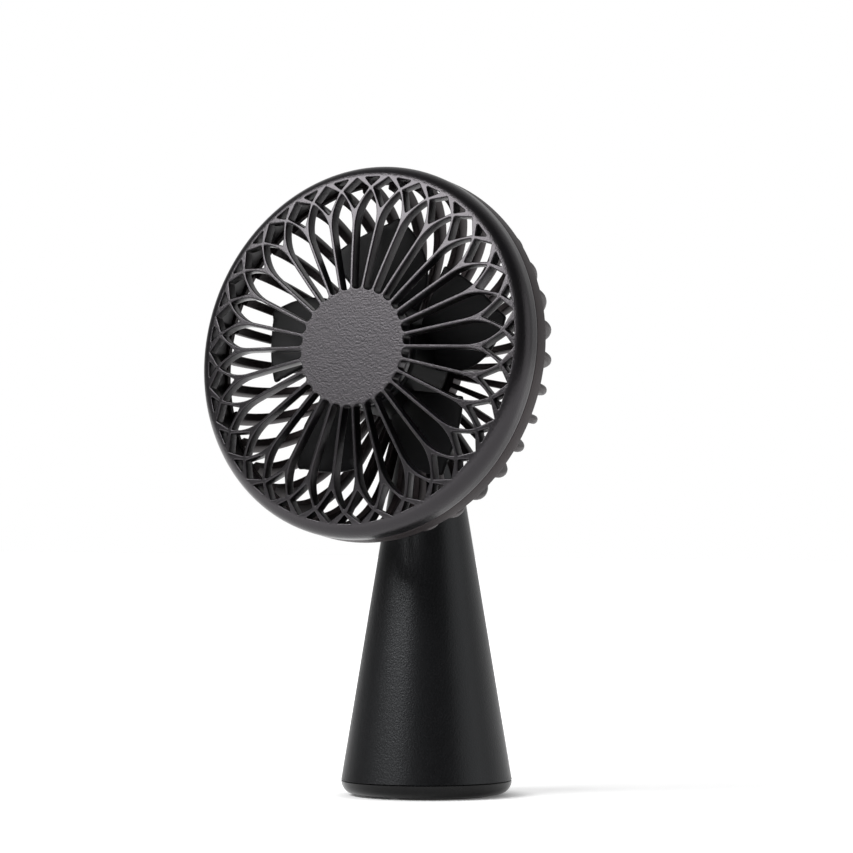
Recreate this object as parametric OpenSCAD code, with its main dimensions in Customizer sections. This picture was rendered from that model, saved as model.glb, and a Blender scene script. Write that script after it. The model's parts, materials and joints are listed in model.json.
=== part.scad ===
/* [Stand] */
// Radius that the cone would have on the desk
cone_foot_r = 25.2; // [22:0.1:30]
// How much the cone's radius shrinks for each millimetre of height
cone_taper = 0.166; // [0.16:0.001:0.17]
// Wall of the cone
cone_wall = 1.8; // [1.4:0.1:2.2]
// Height of the seam between the base cap and the cone
seam_z = 4.4; // [3.6:0.1:5]
// Height at which the bare cone stops, inside the neck ball
cone_top_z = 123; // [121:1:124]
// Radius of the ball and pad that carry the head
neck_r = 8; // [7.6:0.1:8.5]

/* [Head] */
// Upward tilt of the head
tilt = 9.13; // [6:0.01:12]
// Forward reach of the front rim's centre from the cone's axis
head_reach = 38.06; // [37:0.02:40]
// Height of the front rim's centre
head_z = 126.86; // [124:0.02:130]
// Outer radius of the head
head_r = 53; // [52:0.5:54]
// Radius of the sphere that the front grille follows
dome_r = 283; // [240:1:320]
// How far the middle of the dome stands in front of the rim of the lattice
dome_rise = 4.34; // [4:0.02:4.6]
// Depth of the parting line behind the front rim
parting = 6.9; // [6:0.1:8]
// Depth of the whole head behind the front rim
head_depth = 32.8; // [32:0.1:34]

/* [Front grille] */
// Number of spokes, each of which forks and crosses its neighbours
spokes = 30; // [24:2:36]
// Width of a spoke
spoke_w = 1; // [0.8:0.1:1.4]
// Radius of the plain hub disc
hub_disc_r = 16.54; // [15:0.1:18]
// Radius at which a spoke starts to fork
fork_r = 35; // [33:0.5:37]
// Radius of the pointed outer end of a petal opening
petal_r = 45.15; // [44.5:0.05:45.5]
// Depth of the grille's bars
bar_depth = 3.4; // [2.5:0.1:4]

/* [Rear grille] */
// Number of fins
fins = 36; // [30:2:40]
// Width of a fin at the band
fin_w = 2.5; // [1.6:0.1:3]
// Depth of a fin
fin_depth = 4.5; // [3:0.1:5]
// Radius of the bend from the side to the back
back_bend_r = 22; // [18:0.5:24]
// Radius of the plain rear disc
rear_disc_r = 15.5; // [14.5:0.1:16]

/* [Rotor] */
// Number of blades
blades = 5; // [3:1:7]
// Radius of the blade tips
blade_r = 40.4; // [39:0.1:43]
// Angle from a blade's tip to its front corner
blade_span = 34; // [28:1:36]
// Angle by which a blade's rear edge leans from the hub to the tip
blade_sweep = 27; // [20:1:30]
// Angle of the first blade's tip at rest
blade_start = 16; // [0:1:71]
// Thickness of a blade, measured round the axis
blade_t = 2.8; // [2:0.1:4]
// Outer radius of the impeller's hub
hub_r = 16; // [15.8:0.1:16.4]
// Radius of the motor shaft
shaft_r = 1.5; // [1.2:0.1:1.6]

/* [Power] */
// Radius of the battery cell
cell_r = 9.1; // [8.5:0.1:9.1]
// Length of the battery cell
cell_h = 49.5; // [40:0.5:50]
// Height of the power button
button_z = 82; // [80:1:84]
// Radius of the power button
button_r = 4; // [3:0.1:4.5]

/* [Hidden] */
$fn = 64;

// A cut runs past the face that it opens by this much
eps = 0.5;
// Parts of one solid run into each other by this much
bite = 0.5;

// Colours
black = [0.09, 0.09, 0.095];
warm_black = [0.14, 0.13, 0.125];
gloss_black = [0.05, 0.05, 0.055];
steel = [0.62, 0.63, 0.65];
board_green = [0.05, 0.28, 0.16];

// Front cover, as depths behind the front rim
dome_centre = dome_rise - dome_r;
rim_round = 4.4;
rim_round_r = head_r - rim_round;
rim_round_z = dome_centre + sqrt(pow(dome_r - rim_round, 2) - pow(rim_round_r, 2));
rim_start_a = atan2(rim_round_z - dome_centre, rim_round_r);
cover_wall = 2;
lip_r = head_r - cover_wall - 0.08;
lip_wall = 0.9;
lip_depth = 2.6;
plate_r = 49.3;
hub_skirt_r = hub_disc_r - 0.2;
hub_skirt_wall = 1.4;
hub_skirt_back = 2;
spoke_pitch = 360 / spokes;
half_pitch = spoke_pitch / 2;
diamond_in_r = 40.4;
diamond_side_r = 46.2;
diamond_side_a = 0.39 * spoke_pitch;
diamond_out_r = 49.2;
triangle_in_r = 47.2;
triangle_out_r = 49.2;
triangle_a = 0.2 * spoke_pitch;
petal_end_round = 0.95;

// Rear housing, as depths behind the front rim
band_gap = 0.12;
band_end = 12;
band_in_r = head_r - cover_wall;
ledge_r = 49.6;
ledge_t = 1.5;
bend_c = [30.5, back_bend_r - head_depth];
bend_in_r = back_bend_r - fin_depth;
disc_front = head_depth - 3;
rim_in_r = rear_disc_r - 1.5;
fin_pitch = 360 / fins;
fin_root_w = 1.4;
fin_root_r = 16;
fin_end_r = head_r + 2;
wire_bore_r = 2.2;

// Rotor and motor, as depths behind the front rim
hub_front = 4;
hub_back = 23;
hub_wall = 1.4;
hub_cap_t = 1.5;
cup_r = hub_r - hub_wall;
cup_wall = 1;
cup_front = hub_front + hub_cap_t;
cup_back = 20;
magnet_t = 1.5;
magnet_front = 8;
magnet_back = 19;
boss_r = 2.8;
boss_back = 10;
shaft_back = 27.2;
bearing_r = 3;
bearing_h = 2.5;
bearing_clear = 0.03;
bearing_front_1 = 10.3;
bearing_front_2 = 23;
clip_r = 2.6;
clip_t = 0.5;
clip_front = bearing_front_2 + bearing_h + 0.4;
clip_groove = 0.25;
tube_r = 4;
tube_back = 27.6;
stator_r = 11.7;
stator_front = 10.5;
stator_back = 16.5;
stator_hub_r = 5.6;
teeth = 6;
tooth_w = 2.6;
tooth_tip_t = 1.1;
tooth_tip_a = 24;
tooth_bite = 0.3;
coil_t = 1.2;
coil_in_r = 6.4;
coil_out_r = 10.2;
driver_r = 11.6;
driver_front = 19.8;
driver_back = 20.8;
flange_r = 13;
flange_front = 27.8;
seat_r = 6;
lead_slot_w = 3.2;
lead_slot_r = 9.2;
blade_front = 8;
blade_back = 18;
blade_heel_r = 32.6;
rear_edge_power = 2;
outer_edge_power = 0.7;
blade_root_r = hub_r - hub_wall / 2;
blade_root_a = 16;
blade_slices = 10;
blade_segments = 12;
driver_chip_w = 3;
driver_chip_t = 1;
driver_chip_x = 6.4;

// Screws of the head
screw_angles = [90, 210, 330];
motor_screw_ring = 10.4;
motor_screw_r = 1;
motor_screw_head = 1.9;
motor_screw_back = 32;
neck_screw_ring = 5.4;
neck_screw_r = 0.9;
neck_screw_head = 1.7;
neck_screw_back = 37;
screw_head_t = 1.1;
screw_clear = 0.1;

// Neck: the ball sits where the head's axis crosses the cone's axis
cone_slope = atan(cone_taper);
neck_depth = head_reach / cos(tilt);
cone_wall_r = cone_wall / cos(cone_slope);
neck_cavity_z = 72;
neck_cavity_top_z = cone_top_z - 4;

// Base, as heights above the desk
pad_r = 18.6;
pad_t = 1.2;
pad_groove = 0.3;
pad_groove_edge = 2;
pad_groove_w = 1.5;
pad_clear = 0.05;
cap_z = 0.4;
cap_floor_z = 2.4;
cap_bend_r = 4;
seam_gap = 0.15;
spigot_z = seam_z + 3;
spigot_clear = 0.1;
spigot_r = cone_foot_r - cone_taper * spigot_z - cone_wall_r - spigot_clear;
spigot_wall = 1.4;
base_angles = [30, 150, 270];
boss_ring = 19.3;
cone_boss_r = 2.6;
cone_boss_z = 12;
cone_boss_clear = 0.4;
cone_rib_w = 2;
base_screw_r = 1;
base_screw_z = 10;
base_screw_recess = 0.6;
pillar_ring = 14;
pillar_r = 2.2;
pillar_clear = 0.1;
ballast_r = 16.5;
ballast_top_z = 6.4;

// Battery stack
board_z = 9.4;
board_r = 18.8;
board_top_z = 10.6;
frame_wall = 1.3;
frame_in_r = cell_r + 0.1;
frame_out_r = frame_in_r + frame_wall;
frame_foot_z = 12.2;
frame_ear_r = 2.6;
cell_z = 14;
tab_t = 0.25;
tab_w = 5;
tab_tail = 6;
tab_way_w = 7;
tab_way_h = 2;
nub_r = 3;
nub_h = 0.6;
cell_top_z = cell_z + cell_h;
shelf_z = cell_top_z + nub_h + 0.3;
shelf_t = 1.5;
frame_screw_z = 6.6;
cradle_open_a = 62;
cradle_cut_r = 28;
wire_r = 0.5;
lead_gap = 1.2;

// Charging port in the back of the stand
port_z = board_top_z + 1.6;
port_w = 8.9;
port_h = 3.2;
port_mouth_y = 21.9;
port_back_y = 14.6;
port_wall = 0.3;
port_clear = 0.25;
port_back_wall = 1;
port_hole_y = 17.6;
tongue_w = 6.6;
tongue_t = 0.7;
tongue_in = 0.6;

// Button, as depths under the cone's skin along its own axis
button_proud = 0.35;
button_clear = 0.12;
hole_out = 2;
flange_in = 3.3;
button_flange_r = button_r + 0.8;
button_back = 4.2;
switch_w = 4.5;
switch_in = 5;
switch_back = 6.6;
plunger_r = 1.2;
plunger_clear = 0.05;
plunger_back = 5.4;
plunger_bore = 5.9;
small_board_back = 7.6;
small_board_w = 7;
small_board_h = 20;
post_w = 6;
post_back = 9.4;
post_low = 15.6;
led_up = 8.2;
led_r = 1.1;
led_back = 6;
led_proud = 0.05;

function cone_r(z) = cone_foot_r - cone_taper * z;
function dome_z(r) = dome_centre + sqrt(dome_r * dome_r - r * r);
function under_dome_z(r) = dome_centre + sqrt(pow(dome_r - bar_depth, 2) - r * r);
function polar(r, a) = [r * cos(a), r * sin(a)];
function reversed(list) = [for (i = [len(list) - 1 : -1 : 0]) list[i]];
function mirrored(list) = [for (p = reversed(list)) [p[0], -p[1]]];

// Points on an arc about c, from angle a to angle b
function arc(c, r, a, b, steps) =
    [for (i = [0 : steps]) c + polar(r, a + (b - a) * i / steps)];

// Where an arc about c crosses a given height
function angle_at(c, r, y) = asin((y - c[1]) / r);

// A point of the head's own frame, in the frame of the whole fan
function head_point(p) =
    [p[0],
     p[1] * sin(tilt) - p[2] * cos(tilt) - head_reach,
     p[1] * cos(tilt) + p[2] * sin(tilt) + head_z];

module on_head() {
    translate([0, -head_reach, head_z])
        rotate([90 - tilt, 0, 0])
            children();
}

// The back of the cone at height z: the local +Z axis points straight out of its skin
module on_back(z) {
    translate([0, cone_r(z), z])
        rotate([cone_slope - 90, 0, 0])
            children();
}

// A plain or hollow cylinder on the local axis, between two depths
module tube(outer_r, inner_r, front, back) {
    difference() {
        translate([0, 0, -back])
            cylinder(r = outer_r, h = back - front);
        if (inner_r > 0)
            translate([0, 0, -back - eps])
                cylinder(r = inner_r, h = back - front + 2 * eps);
    }
}

// The same round shape at several angles on one ring
module ring_of(angles, ring) {
    for (a = angles)
        rotate(a)
            translate([ring, 0, 0])
                children();
}

// Pan-head screw that points backwards, with its head's front face at a depth
module screw(head_front, head_r, shank_r, back) {
    tube(head_r, 0, head_front, head_front + screw_head_t);
    tube(shank_r, 0, head_front + screw_head_t / 2, back);
}

// Front cover -------------------------------------------------------------------------

// A point at distance u along a spoke's side, seen from the petal beside it
function petal_side(u) =
    [u * cos(half_pitch) + spoke_w / 2 * sin(half_pitch),
     u * sin(half_pitch) - spoke_w / 2 * cos(half_pitch)];

// The side of a petal leaves the spoke on one arc, and meets its mirror image at the tip
fork_p = petal_side(fork_r);
fork_n = [sin(half_pitch), -cos(half_pitch)];
fork_chord = [petal_r, 0] - fork_p;
fork_bend_r = (fork_chord * fork_chord) / (2 * (fork_n * fork_chord));
fork_c = fork_p + fork_bend_r * fork_n;
fork_a0 = atan2(fork_p[1] - fork_c[1], fork_p[0] - fork_c[0]);
fork_a1 = atan2(-fork_c[1], petal_r - fork_c[0]);

// The inner end of a petal has two rounded corners
end_c = petal_side(hub_disc_r + petal_end_round) + petal_end_round * fork_n;

module petal_window() {
    side = concat(
        arc(end_c, petal_end_round, 180, 90 + half_pitch, 3),
        arc(fork_c, fork_bend_r, fork_a0, fork_a1, 7));
    inner = [for (i = [0 : len(side) - 2]) side[i]];
    polygon(concat(side, mirrored(inner)));
}

module diamond_window() {
    side = polar(diamond_side_r, diamond_side_a);
    polygon([[diamond_in_r, 0], [side[0], -side[1]], [diamond_out_r, 0], side]);
}

module triangle_window() {
    base = polar(triangle_out_r, triangle_a);
    polygon([[triangle_in_r, 0], [base[0], -base[1]], base]);
}

module grille_windows() {
    for (i = [0 : spokes - 1])
        rotate(i * spoke_pitch) {
            diamond_window();
            rotate(half_pitch) {
                petal_window();
                triangle_window();
            }
        }
}

module domed_plate() {
    intersection() {
        translate([0, 0, dome_centre])
            difference() {
                sphere(r = dome_r);
                sphere(r = dome_r - bar_depth);
            }
        translate([0, 0, -2 * bar_depth])
            cylinder(r = plate_r, h = 4 * bar_depth);
    }
}

module cover_rim() {
    rotate_extrude()
        polygon(concat(
            [[plate_r, dome_z(plate_r)]],
            arc([rim_round_r, rim_round_z], rim_round, rim_start_a, 0, 7),
            [[head_r, -parting],
             [lip_r, -parting],
             [lip_r, -parting - lip_depth],
             [lip_r - lip_wall, -parting - lip_depth],
             [lip_r - lip_wall, under_dome_z(lip_r - lip_wall)],
             [plate_r, under_dome_z(plate_r)]]));
}

module front_cover() {
    color(black)
        on_head() {
            difference() {
                domed_plate();
                translate([0, 0, -3 * bar_depth])
                    linear_extrude(height = 6 * bar_depth)
                        grille_windows();
            }
            cover_rim();
            tube(hub_skirt_r, hub_skirt_r - hub_skirt_wall, -under_dome_z(0), hub_skirt_back);
        }
}

// Rear housing ------------------------------------------------------------------------

module housing_shell() {
    out_a = angle_at(bend_c, back_bend_r, -band_end);
    in_a = angle_at(bend_c, bend_in_r, -band_end);
    rotate_extrude()
        polygon(concat(
            [[band_in_r, -parting - band_gap],
             [head_r, -parting - band_gap],
             [head_r, -band_end]],
            arc(bend_c, back_bend_r, out_a, -90, 8),
            [[wire_bore_r, -head_depth],
             [wire_bore_r, -disc_front],
             [rim_in_r, -disc_front],
             [rim_in_r, fin_depth - head_depth]],
            arc(bend_c, bend_in_r, -90, in_a, 8),
            [[ledge_r, -band_end],
             [ledge_r, ledge_t - band_end],
             [band_in_r, ledge_t - band_end]]));
}

// Half the width of a fin, where its middle line is at radius r
function fin_half(r) =
    (fin_root_w + (fin_w - fin_root_w) * (r - fin_root_r) / (head_r - fin_root_r)) / 2;

// A point on the side of a fin, seen from the opening beside it
function fin_side(r) =
    [r * cos(fin_pitch / 2) + fin_half(r) * sin(fin_pitch / 2),
     r * sin(fin_pitch / 2) - fin_half(r) * cos(fin_pitch / 2)];

module fin_openings() {
    corners = [fin_side(fin_root_r), fin_side(fin_end_r)];
    for (i = [0 : fins - 1])
        rotate((i + 0.5) * fin_pitch)
            polygon(concat(corners, mirrored(corners)));
}

module rear_housing() {
    color(warm_black)
        on_head()
            difference() {
                housing_shell();
                translate([0, 0, -head_depth - eps])
                    linear_extrude(height = head_depth + eps - band_end)
                        fin_openings();
                ring_of(screw_angles, motor_screw_ring)
                    tube(motor_screw_r, 0, disc_front - eps, motor_screw_back);
                ring_of(screw_angles, neck_screw_ring) {
                    tube(neck_screw_r + screw_clear, 0, disc_front - eps, head_depth + eps);
                    tube(neck_screw_head + screw_clear, 0, disc_front - eps, disc_front + screw_head_t);
                }
            }
}

// Rotor -------------------------------------------------------------------------------

// Angle of a blade's rear edge at radius r, from the angle of its tip
function rear_edge_a(r) =
    blade_sweep * (pow((r - blade_root_r) / (blade_r - blade_root_r), rear_edge_power) - 1);

// Radius of a blade's outer edge at angle a from its tip
function outer_edge_r(a) =
    blade_r - (blade_r - blade_heel_r) * pow(a / blade_span, outer_edge_power);

module blade_outline() {
    steps = 6;
    rear = [for (i = [0 : steps])
        let (r = blade_root_r + (blade_r - blade_root_r) * i / steps)
        polar(r, rear_edge_a(r))];
    outer = [for (i = [1 : steps]) polar(outer_edge_r(blade_span * i / steps), blade_span * i / steps)];
    polygon(concat(rear, outer, [polar(blade_root_r, blade_root_a)]));
}

// A blade is the part of a helicoid inside its outline, deepest at its rear edge
module blade() {
    depth = blade_back - blade_front;
    intersection() {
        translate([0, 0, -blade_back])
            linear_extrude(height = depth)
                blade_outline();
        rotate(-blade_sweep)
            translate([0, 0, -blade_back])
                linear_extrude(height = depth, twist = -blade_sweep - blade_span,
                    slices = blade_slices, segments = blade_segments)
                    translate([blade_root_r, -blade_t / 2])
                        square([blade_r - blade_root_r, blade_t]);
    }
}

module impeller() {
    color(black)
        on_head() {
            difference() {
                tube(hub_r, 0, hub_front, hub_back);
                tube(cup_r, 0, cup_front, hub_back + eps);
            }
            for (i = [0 : blades - 1])
                rotate(blade_start + i * 360 / blades)
                    blade();
        }
}

module rotor_cup() {
    color(steel)
        on_head() {
            tube(cup_r, cup_r - cup_wall, cup_front, cup_back);
            tube(cup_r - cup_wall / 2, shaft_r, cup_front, cup_front + cup_wall);
            tube(boss_r, shaft_r, cup_front, boss_back);
        }
}

module magnet_ring() {
    color([0.25, 0.25, 0.27])
        on_head()
            tube(cup_r - cup_wall, cup_r - cup_wall - magnet_t, magnet_front, magnet_back);
}

module motor_shaft() {
    color(steel)
        on_head()
            difference() {
                tube(shaft_r, 0, cup_front, shaft_back);
                tube(shaft_r + eps, shaft_r - clip_groove, clip_front, clip_front + clip_t);
            }
}

module shaft_clip() {
    color(steel)
        on_head()
            tube(clip_r, shaft_r - clip_groove, clip_front, clip_front + clip_t);
}

// Fixed side of the motor ---------------------------------------------------------------

module bearing(front) {
    on_head()
        tube(bearing_r, shaft_r + bearing_clear, front, front + bearing_h);
}

module front_bearing() {
    color(steel)
        bearing(bearing_front_1);
}

module rear_bearing() {
    color(steel)
        bearing(bearing_front_2);
}

module bearing_tube() {
    color([0.72, 0.58, 0.3])
        on_head()
            tube(tube_r, bearing_r, bearing_front_1, tube_back);
}

module tooth_tip() {
    spread = polar(stator_r * 2, tooth_tip_a);
    intersection() {
        tube(stator_r, stator_r - tooth_tip_t, stator_front, stator_back);
        translate([0, 0, -stator_back - eps])
            linear_extrude(height = stator_back - stator_front + 2 * eps)
                polygon([[0, 0], [spread[0], -spread[1]], spread]);
    }
}

module stator_core() {
    color([0.45, 0.46, 0.48])
        on_head() {
            tube(stator_hub_r, tube_r, stator_front, stator_back);
            for (i = [0 : teeth - 1])
                rotate(i * 360 / teeth) {
                    tooth_tip();
                    translate([stator_hub_r - tooth_bite, -tooth_w / 2, -stator_back])
                        cube([stator_r - tooth_tip_t - stator_hub_r + 2 * tooth_bite, tooth_w,
                            stator_back - stator_front]);
                }
        }
}

module stator_coils() {
    coil_len = coil_out_r - coil_in_r;
    coil_h = stator_back - stator_front;
    color([0.75, 0.4, 0.18])
        on_head()
            for (i = [0 : teeth - 1])
                rotate(i * 360 / teeth)
                    translate([coil_in_r, 0, -stator_back])
                        difference() {
                            translate([0, -tooth_w / 2 - coil_t, -coil_t])
                                cube([coil_len, tooth_w + 2 * coil_t, coil_h + 2 * coil_t]);
                            translate([-eps, -tooth_w / 2, 0])
                                cube([coil_len + 2 * eps, tooth_w, coil_h]);
                        }
}

module motor_board() {
    color(board_green)
        on_head() {
            tube(driver_r, tube_r, driver_front, driver_back);
            // Driver chip, on the back of the board
            translate([driver_chip_x, -driver_chip_w / 2, -driver_back - driver_chip_t])
                cube([driver_chip_w, driver_chip_w, driver_chip_t + bite]);
        }
}

module motor_base() {
    color([0.2, 0.2, 0.2])
        on_head()
            difference() {
                union() {
                    tube(flange_r, 0, flange_front, disc_front);
                    tube(seat_r, 0, driver_back, flange_front + bite);
                }
                tube(tube_r + bearing_clear, 0, driver_back - eps, disc_front + eps);
                ring_of(screw_angles, motor_screw_ring)
                    tube(motor_screw_r + screw_clear, 0, flange_front - eps, disc_front + eps);
                // Slot for the leads, on the low side
                translate([-lead_slot_w / 2, -lead_slot_r, -disc_front - eps])
                    cube([lead_slot_w, lead_slot_r, disc_front - flange_front + 2 * eps]);
            }
}

module motor_screws() {
    color(steel)
        on_head()
            ring_of(screw_angles, motor_screw_ring)
                screw(flange_front - screw_head_t, motor_screw_head, motor_screw_r, motor_screw_back);
}

module neck_screws() {
    color(steel)
        on_head()
            ring_of(screw_angles, neck_screw_ring)
                screw(disc_front, neck_screw_head, neck_screw_r, neck_screw_back);
}

// Leads ---------------------------------------------------------------------------------

function unit(v) = v / norm(v);

// Rings of corners round a path that never runs along the direction aside
function wire_rings(path, aside, sides) =
    [for (i = [0 : len(path) - 1])
        let (last = len(path) - 1,
             along = unit(path[min(i + 1, last)] - path[max(i - 1, 0)]),
             across = unit(cross(along, aside)),
             up = cross(across, along))
        for (k = [0 : sides - 1])
            path[i] + wire_r * (cos(360 * k / sides) * across + sin(360 * k / sides) * up)];

module wire(path, aside) {
    sides = 8;
    rings = len(path);
    walls = [for (i = [0 : rings - 2]) for (k = [0 : sides - 1])
        let (next = (k + 1) % sides)
        [i * sides + k, i * sides + next, (i + 1) * sides + next, (i + 1) * sides + k]];
    first = [for (k = [sides - 1 : -1 : 0]) k];
    final = [for (k = [0 : sides - 1]) (rings - 1) * sides + k];
    polyhedron(points = wire_rings(path, aside, sides), faces = concat(walls, [first, final]),
        convexity = 6);
}

// The leads leave the driver board on its low side, go through the slot and the bore of the
// neck, and run down inside the cone, beside the cell
motor_lead_head = [[0, -8, -20.8], [0, -8, -25], [0, -7.7, -27.6], [0, -6.6, -28.9],
    [0, -2.4, -29], [0, -0.7, -29.7], [0, 0, -31.4], [0, 0, -35.5]];
motor_lead_stand = [[0, -1.6, 119.6], [0, -0.8, 118.4], [0, -0.8, 114], [0, -2.2, 104],
    [0, -4.4, 93], [0, -6.8, 82], [0, -9.4, 72], [0, -10.6, 69], [0, -11.3, 66.5], [0, -11.4, 62], [0, -11.4, 24],
    [-2, -11.4, 18], [-5, -11.4, 13.5], [-5, -11.4, 10.7]];
motor_lead_path = concat([for (p = motor_lead_head) head_point(p)], motor_lead_stand);

module motor_leads() {
    color([0.7, 0.1, 0.08])
        for (side = [-1, 1])
            wire([for (p = motor_lead_path) p + [side * lead_gap / 2, 0, 0]], [1, 0, 0]);
}

battery_lead_path = [[8.6, -1, 64.2], [10.4, -1, 64.2], [11.4, -1, 63.2], [11.6, -1, 60],
    [11.6, -1, 40], [11.6, -1, 20], [12.2, -1, 14], [12.6, -1, 11.6], [12.6, -1, 10.7]];
return_lead_path = [[8.6, 2.4, 13.1], [10.2, 2.4, 13.1], [11.8, 2.4, 12.6], [12.6, 2.4, 11.8],
    [12.7, 2.4, 11.2], [12.7, 2.4, 10.7]];

// The button's leads leave the lower edge of its board, and pass outside the frame
button_lead_path = [[0, 6.4, 70.8], [0, 6.45, 70.2], [0.2, 7.4, 69.3], [0.6, 9.2, 68.4],
    [1, 10.9, 67.2], [1, 11.3, 66], [1, 11.5, 60], [1, 11.5, 40], [1, 11.5, 20], [1, 11.9, 14], [1, 12.2, 11.6],
    [1, 12.2, 10.7]];

// Stand ---------------------------------------------------------------------------------

// Ball and pad that the head is screwed to
module neck() {
    on_head()
        difference() {
            union() {
                tube(neck_r, 0, head_depth, neck_depth);
                translate([0, 0, -neck_depth])
                    sphere(r = neck_r);
            }
            tube(neck_r, 0, 0, head_depth);
        }
}

module cone_shell() {
    color(black)
        difference() {
            union() {
                difference() {
                    translate([0, 0, seam_z])
                        cylinder(r1 = cone_r(seam_z), r2 = cone_r(cone_top_z), h = cone_top_z - seam_z);
                    translate([0, 0, seam_z - eps])
                        cylinder(r1 = cone_r(seam_z - eps) - cone_wall_r,
                            r2 = cone_r(cone_top_z) - cone_wall_r, h = cone_top_z - seam_z + eps);
                }
                neck();
                // Bosses for the base screws
                for (a = base_angles)
                    rotate(a) {
                        translate([boss_ring, 0, cap_floor_z])
                            cylinder(r = cone_boss_r, h = cone_boss_z - cap_floor_z);
                        translate([boss_ring, -cone_rib_w / 2, seam_z])
                            cube([cone_r(cone_boss_z) - boss_ring - cone_wall / 2, cone_rib_w,
                                cone_boss_z - seam_z]);
                    }
            }
            // The cavity goes on up into the ball
            translate([0, 0, neck_cavity_z])
                cylinder(r1 = cone_r(neck_cavity_z) - cone_wall_r,
                    r2 = cone_r(neck_cavity_top_z) - cone_wall_r, h = neck_cavity_top_z - neck_cavity_z);
            on_head() {
                tube(wire_bore_r, 0, head_depth - eps, neck_depth + bite);
                ring_of(screw_angles, neck_screw_ring)
                    tube(neck_screw_r, 0, head_depth - eps, neck_screw_back);
            }
            for (a = base_angles)
                rotate(a)
                    translate([boss_ring, 0, cap_floor_z - eps])
                        cylinder(r = base_screw_r, h = base_screw_z - cap_floor_z + eps);
            port_hole();
            on_back(button_z) {
                tube(button_r + button_clear, 0, -hole_out, flange_in);
                translate([0, -led_up, 0])
                    tube(led_r, 0, -hole_out, flange_in);
            }
        }
}

// Rounded slot, on its side, between two distances from the cone's axis
module port_slot(w, h, from_y, to_y) {
    translate([0, to_y, port_z])
        rotate([90, 0, 0])
            linear_extrude(height = to_y - from_y) {
                square([w - h, h], center = true);
                for (side = [-1, 1])
                    translate([side * (w - h) / 2, 0])
                        circle(d = h);
            }
}

module port_hole() {
    port_slot(port_w + 2 * port_clear, port_h + 2 * port_clear, port_hole_y, cone_foot_r + eps);
}

module usb_socket() {
    color(steel)
        difference() {
            port_slot(port_w, port_h, port_back_y, port_mouth_y);
            port_slot(port_w - 2 * port_wall, port_h - 2 * port_wall, port_back_y + port_back_wall,
                port_mouth_y + eps);
        }
}

module usb_tongue() {
    color([0.15, 0.15, 0.16])
        translate([-tongue_w / 2, port_back_y + port_back_wall, port_z - tongue_t / 2])
            cube([tongue_w, port_mouth_y - tongue_in - port_back_y - port_back_wall, tongue_t]);
}

// Button --------------------------------------------------------------------------------

module power_button() {
    color(gloss_black)
        on_back(button_z) {
            tube(button_r, 0, -button_proud, flange_in + bite);
            tube(button_flange_r, 0, flange_in, button_back);
        }
}

module switch_plunger() {
    color([0.85, 0.85, 0.82])
        on_back(button_z)
            tube(plunger_r, 0, button_back, plunger_back);
}

module tact_switch() {
    color([0.3, 0.3, 0.32])
        on_back(button_z)
            difference() {
                translate([-switch_w / 2, -switch_w / 2, -switch_back])
                    cube([switch_w, switch_w, switch_back - switch_in]);
                tube(plunger_r + plunger_clear, 0, switch_in - eps, plunger_bore);
            }
}

module button_board() {
    color(board_green)
        on_back(button_z)
            translate([-small_board_w / 2, -small_board_h / 2, -small_board_back])
                cube([small_board_w, small_board_h, small_board_back - switch_back]);
}

module button_leads() {
    color([0.85, 0.85, 0.85])
        for (side = [-1, 1])
            wire([for (p = button_lead_path) p + [side * lead_gap / 2, 0, 0]], [1, 0, 0]);
}

module led_lens() {
    color([0.9, 0.92, 0.9])
        on_back(button_z)
            translate([0, -led_up, 0])
                tube(led_r, 0, -led_proud, led_back);
}

// Battery stack ---------------------------------------------------------------------------

module inner_frame() {
    color([0.23, 0.23, 0.24])
        difference() {
            union() {
                translate([0, 0, board_top_z])
                    difference() {
                        cylinder(r = frame_out_r, h = shelf_z + shelf_t - board_top_z);
                        // Well for the cell and its tabs
                        translate([0, 0, cell_z - tab_t - board_top_z])
                            cylinder(r = frame_in_r, h = shelf_z - cell_z + tab_t);
                        translate([0, 0, -eps])
                            cylinder(r = frame_in_r, h = frame_foot_z - board_top_z + eps);
                    }
                for (a = base_angles)
                    rotate(a)
                        translate([0, 0, board_top_z])
                            linear_extrude(height = frame_foot_z - board_top_z) {
                                translate([pillar_ring, 0])
                                    circle(r = frame_ear_r);
                                translate([frame_out_r - bite, -frame_ear_r])
                                    square([pillar_ring - frame_out_r + bite, 2 * frame_ear_r]);
                            }
                on_back(button_z)
                    translate([-post_w / 2, -small_board_h / 2, -post_back])
                        cube([post_w, small_board_h / 2 + post_low, post_back - small_board_back]);
            }
            // Open side of the cradle
            translate([0, 0, cell_z - tab_t])
                linear_extrude(height = shelf_z - cell_z + tab_t)
                    polygon(concat([[0, 0]],
                        arc([0, 0], cradle_cut_r, -90 - cradle_open_a, -90 + cradle_open_a, 2)));
            ring_of(base_angles, pillar_ring)
                translate([0, 0, board_top_z - eps])
                    cylinder(r = base_screw_r + screw_clear, h = frame_foot_z - board_top_z + 2 * eps);
            // Ways out for the tabs, on the side of the battery leads
            for (z = [cell_z - tab_way_h + bite, shelf_z - tab_way_h / 2])
                translate([0, -tab_w / 2 - bite, z])
                    cube([frame_out_r + eps, tab_way_w, tab_way_h]);
        }
}

module upright_screw(ring, head_z0, tip_z, pointing_down) {
    ring_of(base_angles, ring) {
        translate([0, 0, min(head_z0, tip_z)])
            cylinder(r = base_screw_r, h = abs(head_z0 - tip_z));
        translate([0, 0, pointing_down ? head_z0 : head_z0 - screw_head_t])
            cylinder(r = motor_screw_head, h = screw_head_t);
    }
}

module frame_screws() {
    color(steel)
        upright_screw(pillar_ring, frame_foot_z, frame_screw_z, true);
}

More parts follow.
